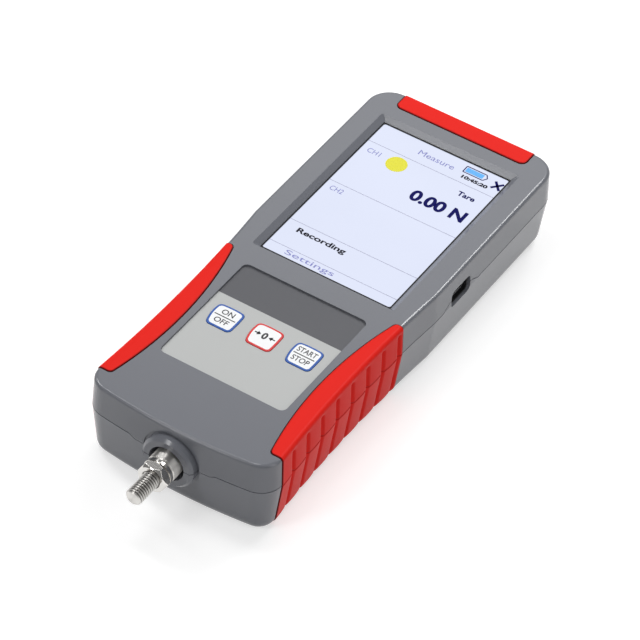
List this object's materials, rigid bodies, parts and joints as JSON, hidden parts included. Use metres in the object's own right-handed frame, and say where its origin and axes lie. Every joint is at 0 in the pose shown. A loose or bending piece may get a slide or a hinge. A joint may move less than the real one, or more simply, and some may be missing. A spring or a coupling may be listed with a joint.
{
  "type": "force gauge",
  "caption": "Handheld digital force gauge: flat two-shell case with rubber side grips, large display, sprung keys and a threaded measuring stud with a lock nut.",
  "frame": {"origin": "centre of the flat back of the case, on its middle line, halfway along the case body", "axes": "+X across the case to the grip beside the side port, +Y along the case to the display end, +Z out of the display; the stud points along -Y"},
  "size_m": [0.0716, 0.201, 0.0314],
  "materials": {
    "case_grey": "fine moulded texture",
    "rubber_red": "matt moulded elastomer",
    "gasket_black": "matt foam",
    "screen_glass": "lit display behind glass",
    "display_steel": "pressed sheet",
    "label_print": "printed film",
    "key_white": "printed film key",
    "board_green": "solder mask",
    "flex_amber": "polyimide film",
    "chip_black": "moulded packages",
    "steel_bright": "nickel-plated, turned",
    "steel_plain": "zinc-plated",
    "cell_aluminium": "milled",
    "brass": "knurled insert",
    "cable_grey": "round sheathed lead",
    "battery_wrap": "shrink wrap",
    "foam_pad": "adhesive foam"
  },
  "bodies": {
    "case": {"battery_lead": "cable_grey", "battery_pack": "battery_wrap", "battery_pad": "foam_pad", "board_components": "chip_black", "board_screws": "steel_plain", "bracket_screws": "steel_plain", "buzzer": "chip_black", "case_screws": "steel_plain", "display_flex": "flex_amber", "display_frame": "display_steel", "display_gasket": "gasket_black", "display_screws": "steel_plain", "front_shell": "case_grey", "grip_left_front": "rubber_red", "grip_left_rear": "rubber_red", "grip_right_front": "rubber_red", "grip_right_rear": "rubber_red", "key_domes": "steel_plain", "keypad_board": "board_green", "keypad_overlay": "label_print", "keypad_tail": "flex_amber", "lcd_module": "display_steel", "load_cell": "cell_aluminium", "load_cell_bolt": "steel_plain", "load_cell_bracket": "cell_aluminium", "load_cell_lead": "cable_grey", "main_board": "board_green", "mounting_inserts": "brass", "rear_shell": "case_grey", "top_bumper": "rubber_red", "touch_panel": "screen_glass", "usb_socket": "steel_plain"},
    "key_on_off": {"key_on_off": "key_white"},
    "key_zero": {"key_zero": "key_white"},
    "key_start_stop": {"key_start_stop": "key_white"},
    "spindle": {"measuring_spindle": "steel_bright"},
    "lock_nut": {"lock_nut": "steel_bright"}
  },
  "joints": [
    {"name": "key_on_off_press", "type": "slide", "parent": "case", "child": "key_on_off", "axis": [0, 0, -1], "range_m": [0, 0.0003], "stiffness_N_per_m": 1500},
    {"name": "key_zero_press", "type": "slide", "parent": "case", "child": "key_zero", "axis": [0, 0, -1], "range_m": [0, 0.0003], "stiffness_N_per_m": 1500},
    {"name": "key_start_stop_press", "type": "slide", "parent": "case", "child": "key_start_stop", "axis": [0, 0, -1], "range_m": [0, 0.0003], "stiffness_N_per_m": 1500},
    {"name": "spindle_deflection", "type": "slide", "parent": "case", "child": "spindle", "axis": [0, 1, 0], "range_m": [-0.0003, 0.0003], "stiffness_N_per_m": 20000},
    {"name": "lock_nut_turn", "type": "hinge", "parent": "spindle", "child": "lock_nut", "pos_m": [0, -0.09845, 0.0183], "axis": [0, -1, 0], "continuous": true}
  ]
}
